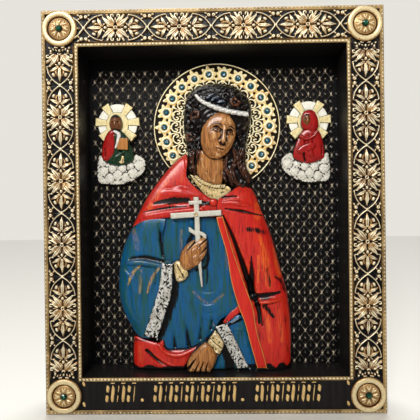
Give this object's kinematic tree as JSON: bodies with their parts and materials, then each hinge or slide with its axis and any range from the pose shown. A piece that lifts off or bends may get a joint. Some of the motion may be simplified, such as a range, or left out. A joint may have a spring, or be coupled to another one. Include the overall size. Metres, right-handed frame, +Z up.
{
  "type": "carved wooden icon panel",
  "caption": "Deep box frame with leaf ornament and corner medallions around a carved half-length figure with a hand cross and a stone-set nimbus.",
  "frame": {"origin": "middle of the underside, on the surface the icon stands on", "axes": "+Z up along the tall side, -Y out of the carved front, +X to the viewer's right"},
  "size_m": [0.202, 0.038, 0.24],
  "materials": {
    "frame_wood": "black-brown stain with bronze and pale gold rubbed on the carved crests",
    "painted_carving": "carved wood under glossy red, blue, silver and gold paint with dark recesses",
    "blue_glass": "foil-backed faceted blue-green glass",
    "green_glass": "foil-backed faceted green glass"
  },
  "bodies": {
    "root": {"frame": "frame_wood", "carved_board": "painted_carving", "nimbus_stone_01": "blue_glass", "nimbus_stone_02": "blue_glass", "nimbus_stone_03": "blue_glass", "nimbus_stone_04": "blue_glass", "nimbus_stone_05": "blue_glass", "nimbus_stone_06": "blue_glass", "nimbus_stone_07": "blue_glass", "nimbus_stone_08": "blue_glass", "nimbus_stone_09": "blue_glass", "nimbus_stone_10": "blue_glass", "nimbus_stone_11": "blue_glass", "nimbus_stone_12": "blue_glass", "nimbus_stone_13": "blue_glass", "nimbus_stone_14": "blue_glass", "nimbus_stone_15": "blue_glass", "nimbus_stone_16": "blue_glass", "nimbus_stone_17": "blue_glass", "corner_stone_1": "green_glass", "corner_stone_2": "green_glass", "corner_stone_3": "green_glass", "corner_stone_4": "green_glass"}
  },
  "joints": []
}
